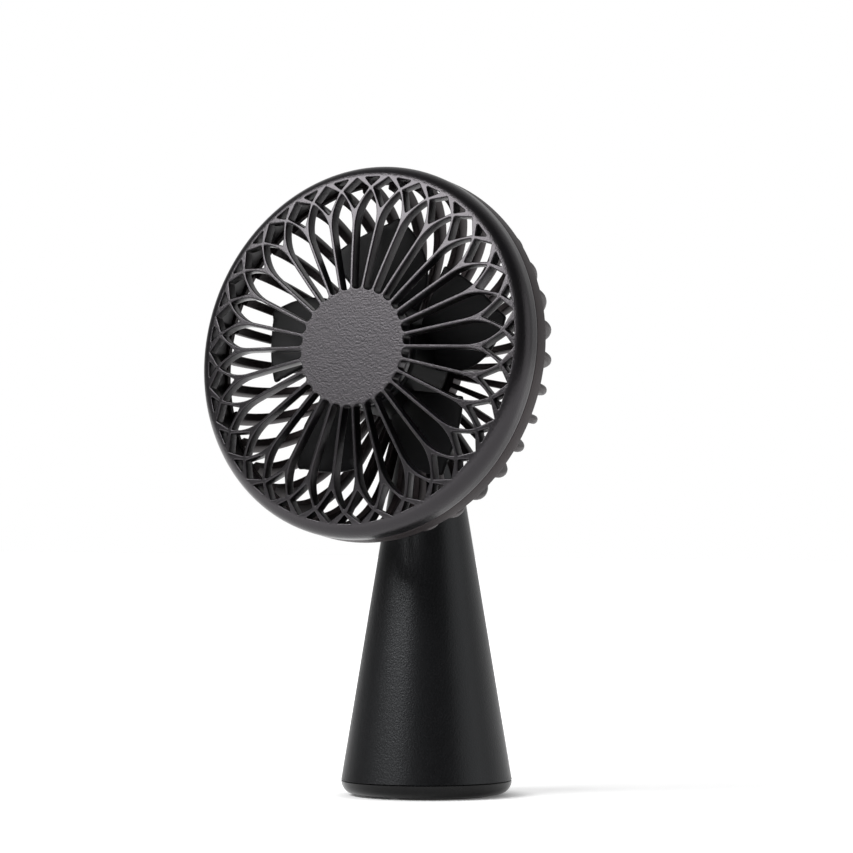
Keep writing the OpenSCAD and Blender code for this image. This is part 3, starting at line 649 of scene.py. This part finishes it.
def add_fin(shape, a):
    """One fin: a bar with a round outer face, bent from the side of the head to its back."""
    stations = arc(BEND_C, BEND_R, -1, -90, FIN_BEND_STEPS)
    run = REAR_DISC_R - 1 - BEND_C[0]
    stations += [Vector((BEND_C[0] + run * i / 5, -HEAD_DEPTH)) for i in range(1, 6)]
    side = Vector((-math.sin(a), math.cos(a), 0))
    out = Vector((math.cos(a), math.sin(a), 0))
    loops = []
    for i, p in enumerate(stations):
        if i <= FIN_BEND_STEPS:
            inwards = (Vector(BEND_C) - p).normalized()
        else:
            inwards = Vector((0, 1))
        out_share = (FIN_W - FIN_ROOT_W) * (p.x - REAR_DISC_R) / (HEAD_R - REAR_DISC_R)
        half = (FIN_ROOT_W + out_share) / 2
        crown = min(half, 1.0)
        section = [(half, FIN_DEPTH - 0.3), (half, crown)]
        section += [(half * math.cos(t), crown * (1 - math.sin(t)))
                    for t in (0.4, 0.8, 1.2, math.pi / 2)]
        mirror = [(-u, v) for u, v in reversed(section[:-1])]
        section += mirror + [(-half + 0.25, FIN_DEPTH), (half - 0.25, FIN_DEPTH)]
        loop = []
        for u, v in section:
            q = p + inwards * v
            point = out * q.x + side * u
            loop.append((point.x, point.y, q.y))
        loops.append(loop)
    shape.sweep(loops)


def rear_grille():
    shape = Shape()
    in_r = HEAD_R - 2
    top = -PARTING - BAND_GAP
    edge = PARTING_ROUND
    band = [(in_r, top), (HEAD_R - edge, top)]
    band += [tuple(p) for p in arc((HEAD_R - edge, top - edge), edge, 90, 0, 3)]
    bend_c = (HEAD_R - BAND_ROUND, -BAND_END + BAND_ROUND)
    band += [tuple(p) for p in arc(bend_c, BAND_ROUND, 0, -90, 4)]
    band += [(BAND_IN_R, -BAND_END), (BAND_IN_R, -BAND_END + 1.5), (in_r, -BAND_END + 1.5)]
    shape.lathe(band, RIM_STEPS, ring=True)
    disc = [(REAR_HOLE_R, -HEAD_DEPTH)]
    disc += [tuple(p) for p in arc((REAR_DISC_R - 0.5, -HEAD_DEPTH + 0.5), 0.5, -90, 0, 4)]
    disc += [(REAR_DISC_R, -HEAD_DEPTH + FIN_DEPTH), (REAR_DISC_R - 1.5, -HEAD_DEPTH + FIN_DEPTH)]
    disc += [(REAR_DISC_R - 1.5, -REAR_DISC_FRONT), (REAR_HOLE_R, -REAR_DISC_FRONT)]
    shape.lathe(disc, HUB_STEPS, ring=True)
    for a in turns(FINS):
        add_fin(shape, a)
    make_piece("rear_grille", shape, HEAD, HOUSING, "fan", ["rear_housing"])


# ---------------------------------------------------------------- impeller


def rear_edge_a(r):
    """Angle of a blade's rear edge at radius r, from the angle of its tip."""
    return BLADE_SWEEP * (((r - BLADE_ROOT_R) / (BLADE_R - BLADE_ROOT_R)) ** REAR_EDGE_POWER - 1)


def outer_edge_r(a):
    return BLADE_R - (BLADE_R - BLADE_HEEL_R) * (a / BLADE_SPAN) ** OUTER_EDGE_POWER


def blade_outline():
    steps = 14
    rear = [BLADE_ROOT_R + (BLADE_R - BLADE_ROOT_R) * i / steps for i in range(steps + 1)]
    outer = [BLADE_SPAN * i / steps for i in range(1, steps + 1)]
    points = [polar(r, math.radians(rear_edge_a(r))) for r in rear]
    points += [polar(outer_edge_r(a), math.radians(a)) for a in outer]
    root = polar(BLADE_ROOT_R, math.radians(BLADE_ROOT_A))
    points += along(points[-1], root, 1.6) + [root]
    radii = [0] * len(points)
    radii[steps] = 1.0
    radii[2 * steps] = 0.75
    return rounded(points, radii, 6)


def add_blade(shape, turn):
    """One blade: a helicoid inside its outline, with rounded edges."""
    pitch = (BLADE_BACK - BLADE_FRONT) / math.radians(BLADE_SWEEP + BLADE_SPAN)
    outline = blade_outline()
    points = []
    thickness = []
    for k in range(5):
        t = k / 4 * math.pi / 2
        ring = grown(outline, BLADE_EDGE * (math.cos(t) - 1))
        points += ring
        thickness += [BLADE_T / 2 * math.sin(t)] * len(ring)
    inner = points[-len(outline):]
    step = 2.0
    for i in range(-4, 25):
        for j in range(-16, 16):
            p = Vector((12 + i * step, j * step))
            if inside(p, inner, 0.6):
                points.append(p)
                thickness.append(BLADE_T / 2)
    verts, _, faces, origins, *_ = delaunay_2d_cdt(points, [], [list(range(len(outline)))], 1, 1e-6)
    for side in (1, -1):
        rows = []
        for p, source in zip(verts, origins):
            t = thickness[source[0]] * side
            r = p.length
            a = math.atan2(p.y, p.x)
            slope = math.atan2(pitch, r)
            z = -BLADE_BACK + pitch * (a + math.radians(BLADE_SWEEP)) + t * math.cos(slope)
            flat = polar(r, turn + a - t * math.sin(slope) / r)
            rows.append((flat.x, flat.y, z))
        numbers = shape.loop(rows)
        shape.faces.extend(tuple(numbers[k] for k in face) for face in faces)


def inside(p, outline, margin):
    """Whether a point lies inside a closed outline, at least a margin away from it."""
    hits = 0
    for a, b in zip(outline, outline[1:] + outline[:1]):
        if (p - a).length < margin:
            return False
        if (a.y > p.y) != (b.y > p.y) and p.x < a.x + (b.x - a.x) * (p.y - a.y) / (b.y - a.y):
            hits += 1
    return hits % 2 == 1


def impeller():
    shape = Shape()
    hub = [(0, -HUB_FRONT)]
    hub += [tuple(p) for p in arc((HUB_R - 1.2, -HUB_FRONT - 1.2), 1.2, 90, 0, 6)]
    hub += [(HUB_R, -HUB_BACK + 0.2), (HUB_R - 0.2, -HUB_BACK), (CUP_R, -HUB_BACK)]
    hub += [(CUP_R, -HUB_FRONT - 1.5), (0, -HUB_FRONT - 1.5)]
    shape.lathe(hub, HUB_STEPS)
    for i in range(BLADES):
        add_blade(shape, BLADE_START + 2 * math.pi * i / BLADES)
    make_piece("fan_blades", shape, HEAD, BLADE, "rotor", ["impeller"])


# ---------------------------------------------------------------- stand


def cut(piece, cutters):
    """Takes the cutters' solids out of a piece, and removes the cutters."""
    for cutter in cutters:
        modifier = piece.modifiers.new("cut", "BOOLEAN")
        modifier.operation = "DIFFERENCE"
        modifier.solver = "EXACT"
        modifier.object = cutter
    graph = bpy.context.evaluated_depsgraph_get()
    mesh = bpy.data.meshes.new_from_object(piece.evaluated_get(graph))
    piece.modifiers.clear()
    piece.data = mesh
    for cutter in cutters:
        bpy.data.objects.remove(cutter)


def make_cutter(shape, place):
    mesh = bpy.data.meshes.new("cutter")
    mesh.from_pydata([place @ v for v in shape.verts], [], shape.faces)
    bm = bmesh.new()
    bm.from_mesh(mesh)
    bmesh.ops.recalc_face_normals(bm, faces=bm.faces)
    bm.to_mesh(mesh)
    bm.free()
    cutter = bpy.data.objects.new("cutter", mesh)
    bpy.context.scene.collection.objects.link(cutter)
    return cutter


def round_cutter(r, bottom, top, flare, place):
    """A cylinder that opens out into a small chamfer where it leaves the surface at z = 0."""
    shape = Shape()
    shape.lathe([(0, bottom), (r, bottom), (r, -flare), (r + flare, 0),
                 (r + flare + top, top), (0, top)], 64)
    return make_cutter(shape, place)


def slot_outline(w, h):
    half = arc(((w - h) / 2, 0), h / 2, -90, 90, SLOT_STEPS)
    return half + arc((-(w - h) / 2, 0), h / 2, 90, 270, SLOT_STEPS)


def stand_cone():
    """The hollow cone, and the ball and pad at its top that carry the head."""
    shape = Shape()
    cone_top = 110.0
    profile = [(cone_r(SEAM_Z) - CONE_WALL, SEAM_Z), (cone_r(SEAM_Z) - 0.15, SEAM_Z)]
    profile += [(cone_r(SEAM_Z + 0.15), SEAM_Z + 0.15)]
    steps = 30
    heights = [SEAM_Z + 0.5 + (cone_top - SEAM_Z - 0.5) * i / steps for i in range(steps + 1)]
    profile += [(cone_r(z), z) for z in heights]
    # Smooth throat between the cone and the ball
    ball_start = math.radians(-15)
    end = Vector((NECK_R * math.cos(ball_start), NECK_Z + NECK_R * math.sin(ball_start)))
    start = Vector((cone_r(cone_top), cone_top))
    middle = Vector((cone_r(THROAT_Z), THROAT_Z))
    for i in range(1, THROAT_STEPS):
        t = i / THROAT_STEPS
        profile.append(tuple(start.lerp(middle, t).lerp(middle.lerp(end, t), t)))
    profile += [tuple(p) for p in arc((0, NECK_Z), NECK_R, -15, 90, 20)[:-1]]
    profile += [(0, NECK_Z + NECK_R), (0, 112), (cone_r(112) - CONE_WALL, 112)]
    profile += [(cone_r(60) - CONE_WALL, 60)]
    shape.lathe(profile, RIM_STEPS)
    bottom = shape.loop([(*polar(cone_r(60) - CONE_WALL, a), 60) for a in turns(RIM_STEPS)])
    foot = shape.loop([(*polar(cone_r(SEAM_Z) - CONE_WALL, a), SEAM_Z) for a in turns(RIM_STEPS)])
    shape.join(bottom, foot)
    cone = make_piece("stand_cone", shape, STAND, CONE, "fan", ["cone_shell"])
    back = back_matrix(BUTTON_Z)
    led_place = back @ Matrix.Translation((0, -LED_UP, 0))
    port = Shape()
    outline = slot_outline(PORT_W, PORT_H)
    flared = slot_outline(PORT_W + 0.5, PORT_H + 0.5)
    wide = slot_outline(PORT_W + 4.5, PORT_H + 4.5)
    skin_y = cone_r(PORT_Z)
    rows = ((outline, skin_y - 6), (outline, skin_y - 0.25), (flared, skin_y), (wide, skin_y + 2))
    port.sweep([[(p.x, y, p.y + PORT_Z) for p in points] for points, y in rows])
    cut(cone, [round_cutter(BUTTON_R + BUTTON_CLEAR, -BUTTON_FLANGE_IN, 2, 0.2, back),
               round_cutter(LED_R, -BUTTON_FLANGE_IN, 2, 0.1, led_place),
               make_cutter(port, STAND)])
    cone.data.shade_smooth()
    cone.data.set_sharp_from_angle(angle=math.radians(30))
    pad = Shape()
    front = -33.0
    pad_profile = [(0, front + 0.1)]
    pad_profile += [tuple(p) for p in arc((NECK_R - 0.3, front - 0.2), 0.3, 90, 0, 4)]
    pad_profile += [(NECK_R, -NECK_DEPTH), (NECK_R - 1, -NECK_DEPTH - 0.5), (0, -NECK_DEPTH)]
    pad.lathe(pad_profile, HUB_STEPS)
    make_piece("neck_pad", pad, HEAD, CONE, "fan", ["cone_shell"])


def button_cap():
    """The push button, with a shallow dish in its top and a flange behind the cone's wall."""
    shape = Shape()
    top = BUTTON_PROUD
    profile = [(0, top - 0.3)]
    profile += [(r, top - 0.3 + 0.28 * (r / 3.3) ** 2) for r in (0.8, 1.6, 2.4, 3.0)]
    profile += [tuple(p) for p in arc((BUTTON_R - 0.35, top - 0.35), 0.35, 100, 0, 6)]
    profile += [(BUTTON_R, -BUTTON_FLANGE_IN), (BUTTON_FLANGE_R, -BUTTON_FLANGE_IN)]
    profile += [(BUTTON_FLANGE_R, -BUTTON_BACK), (0, -BUTTON_BACK)]
    shape.lathe(profile, 96)
    make_piece("button_cap", shape, back_matrix(BUTTON_Z), GLOSS, "button",
               ["power_button"])


def base_ring():
    """The cap under the cone, with its round lower edge and the recess of the foot pad."""
    shape = Shape()
    cap_r = cone_r(SEAM_Z)
    top = SEAM_Z - SEAM_GAP
    profile = [(0, 1.2), (PAD_R + 0.1, 1.2), (PAD_R + 0.1, CAP_Z)]
    bend_c = (cap_r - CAP_BEND_R, CAP_Z + CAP_BEND_R)
    profile += [tuple(p) for p in arc(bend_c, CAP_BEND_R, -90, -4, 14)]
    profile += [(cap_r - 0.15, top), (cap_r - 2.6, top)]
    profile += [(cap_r - 2.6, top + 3), (cap_r - 4, top + 3)]
    profile += [(cap_r - 4, 2.4), (0, 2.4)]
    shape.lathe(profile, RIM_STEPS)
    base = make_piece("base_ring", shape, STAND, GLOSS, "fan", ["base_cap"],
                      sharp=50)
    pockets = []
    for a in SCREW_ANGLES:
        pocket = Shape()
        pocket.lathe([(0, -1), (SCREW_POCKET_R, -1), (SCREW_POCKET_R, SCREW_POCKET_Z),
                      (0, SCREW_POCKET_Z)], 48)
        place = Matrix.Rotation(math.radians(a), 4, "Z") @ Matrix.Translation((SCREW_RING, 0, 0))
        pockets.append(make_cutter(pocket, STAND @ place))
    cut(base, pockets)
    base.data.shade_smooth()
    base.data.set_sharp_from_angle(angle=math.radians(40))


# ---------------------------------------------------------------- stage

CAMERA_AZIMUTH = math.radians(29.93)
CAMERA_ELEVATION = math.radians(-0.63)
CAMERA_DISTANCE = 1.2264
CAMERA_TARGET = Vector((0, 0, 0.1056))
CAMERA_LENS = 180.39
# Direction of the white side of the room, and its light and the other side's
ROOM_BACK = (0.05, 1.0, 0.1)
ROOM_FRONT_LIGHT = 0.05
ROOM_BACK_LIGHT = 0.7
FLOOR_HALF = 3.0
FLOOR_GLOW = 0.55
# Glow added far out on the floor, which is darker there, and the distances it grows over
FAR_GLOW = 0.4
FAR_FADE = (0.15, 0.45)
# Painted contact shadow on the floor: the glow under the foot, and the distances from the middle
# over which it rises back
FOOT_SHADOW_GLOW = 0.1
FOOT_SHADE = (0.02, 0.034)


def add_camera():
    data = bpy.data.cameras.new("camera")
    data.lens = CAMERA_LENS
    data.sensor_width = 36
    data.clip_start = 0.05
    camera = bpy.data.objects.new("camera", data)
    bpy.context.scene.collection.objects.link(camera)
    flat = CAMERA_DISTANCE * math.cos(CAMERA_ELEVATION)
    offset = Vector((flat * math.sin(CAMERA_AZIMUTH), -flat * math.cos(CAMERA_AZIMUTH),
                     CAMERA_DISTANCE * math.sin(CAMERA_ELEVATION)))
    camera.location = CAMERA_TARGET + offset
    camera.rotation_euler = (-offset).to_track_quat("-Z", "Y").to_euler()
    bpy.context.scene.camera = camera


def add_floor():
    mesh = bpy.data.meshes.new("floor")
    shape = Shape()
    half = FLOOR_HALF
    shape.lid(shape.loop([(-half, -half, 0), (half, -half, 0), (half, half, 0), (-half, half, 0)]))
    mesh.from_pydata(shape.verts, [], shape.faces)
    floor = bpy.data.objects.new("floor", mesh)
    bpy.context.scene.collection.objects.link(floor)
    m = Nodes("floor_white")
    tone = m.ramp(m.noise(6, 2.0), [(0.3, (0.86, 0.86, 0.86)), (0.7, (0.88, 0.88, 0.88))])
    m.link(tone, m.shader.inputs["Base Color"])
    m.shader.inputs["Roughness"].default_value = 0.8
    m.shader.inputs["Emission Color"].default_value = (1, 1, 1, 1)
    # Painted contact shadow: the floor's glow fades under the foot, where the light would be
    # blocked
    middle = m.add("ShaderNodeVectorMath", operation="LENGTH")
    m.link(m.place, middle.inputs[0])
    glow = m.add("ShaderNodeMath", operation="ADD")
    m.link(m.eased(middle.outputs["Value"], FOOT_SHADE, FOOT_SHADOW_GLOW, FLOOR_GLOW), glow.inputs[0])
    m.link(m.eased(middle.outputs["Value"], FAR_FADE, 0.0, FAR_GLOW), glow.inputs[1])
    m.link(glow.outputs["Value"], m.shader.inputs["Emission Strength"])
    mesh.materials.append(m.material)
    floor.visible_diffuse = False


def add_world():
    """White all round for the camera, and for the light a white room with a dark front side."""
    world = bpy.data.worlds.new("studio")
    world.use_nodes = True
    tree = world.node_tree
    background = tree.nodes["Background"]
    background.inputs["Color"].default_value = (1, 1, 1, 1)
    coordinates = tree.nodes.new("ShaderNodeTexCoord")
    side = tree.nodes.new("ShaderNodeVectorMath")
    side.operation = "DOT_PRODUCT"
    side.inputs[1].default_value = ROOM_BACK
    tree.links.new(coordinates.outputs["Generated"], side.inputs[0])
    fade = tree.nodes.new("ShaderNodeMapRange")
    fade.interpolation_type = "SMOOTHSTEP"
    fade.inputs["From Min"].default_value = -0.1
    fade.inputs["From Max"].default_value = 0.9
    fade.inputs["To Min"].default_value = ROOM_FRONT_LIGHT
    fade.inputs["To Max"].default_value = ROOM_BACK_LIGHT
    tree.links.new(side.outputs["Value"], fade.inputs["Value"])
    path = tree.nodes.new("ShaderNodeLightPath")
    seen = tree.nodes.new("ShaderNodeMix")
    seen.inputs["B"].default_value = 1.0
    tree.links.new(path.outputs["Is Camera Ray"], seen.inputs["Factor"])
    tree.links.new(fade.outputs["Result"], seen.inputs["A"])
    tree.links.new(seen.outputs["Result"], background.inputs["Strength"])
    bpy.context.scene.world = world


def add_softbox(name, place, aim, size, power):
    data = bpy.data.lights.new(name, "AREA")
    data.shape = "RECTANGLE"
    data.size, data.size_y = size
    data.energy = power
    light = bpy.data.objects.new(name, data)
    bpy.context.scene.collection.objects.link(light)
    light.location = place
    light.rotation_euler = (Vector(aim) - Vector(place)).to_track_quat("-Z", "Y").to_euler()


dress_cad_nodes()
front_grille()
rear_grille()
impeller()
stand_cone()
button_cap()
base_ring()

add_camera()
add_floor()
add_world()
add_softbox("key", (-0.66, -1.15, 1.05), (0, 0, 0.12), (1.3, 0.8), 36)
add_softbox("side", (1.5, 0.2, 0.5), (0, 0, 0.1), (1.1, 1.1), 3.5)
bpy.context.scene.view_settings.view_transform = "Standard"
